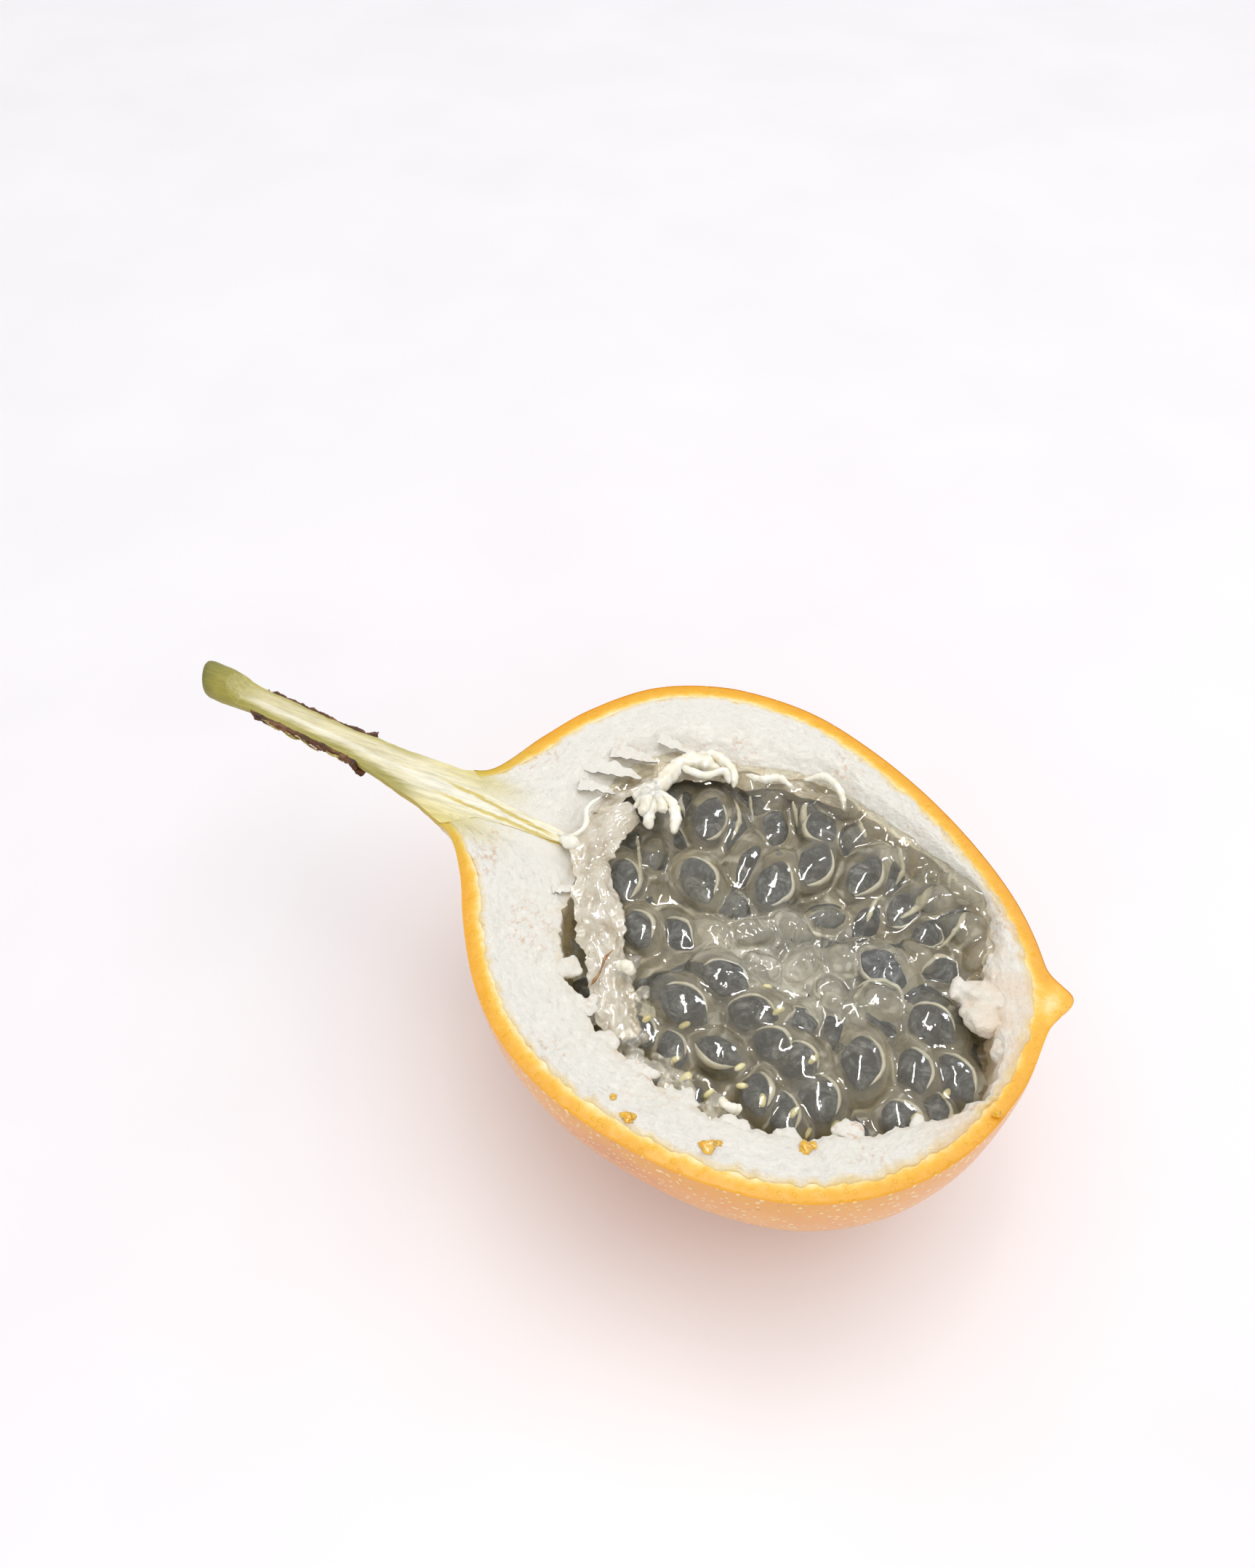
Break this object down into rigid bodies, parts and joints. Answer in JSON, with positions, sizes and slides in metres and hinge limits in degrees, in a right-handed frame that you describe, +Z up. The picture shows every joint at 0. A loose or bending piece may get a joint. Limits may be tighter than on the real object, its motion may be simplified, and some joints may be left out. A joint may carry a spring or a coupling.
{
  "type": "passion fruit half",
  "caption": "Half of a sweet granadilla passion fruit, cut lengthwise through its stalk, with rind, pith, seed cavity and pulp, lying on its skin with the cut face up.",
  "frame": {"origin": "middle of the small flat spot that the skin rests on", "axes": "+X from the stalk to the blossom end, +Y across the cut face, +Z up out of the cut face"},
  "size_m": [0.1176, 0.0663, 0.0351],
  "materials": {
    "skin": "thin waxy orange rind with pale dots, semi-gloss",
    "pith": "moist white spongy pith, torn and slightly rough",
    "pulp": "wet translucent grey-olive seed sacs round dark seeds",
    "membrane": "thin wet silvery film",
    "threads": "moist cream-white threads",
    "stalk": "green stalk with a pale split face, matt",
    "bark": "dry dark brown bark, matt"
  },
  "bodies": {
    "root": {"skin": "skin", "pith": "pith", "pulp": "pulp", "membrane": "membrane", "seed_threads": "threads", "stalk": "stalk", "bark_sleeve": "bark"}
  },
  "joints": []
}
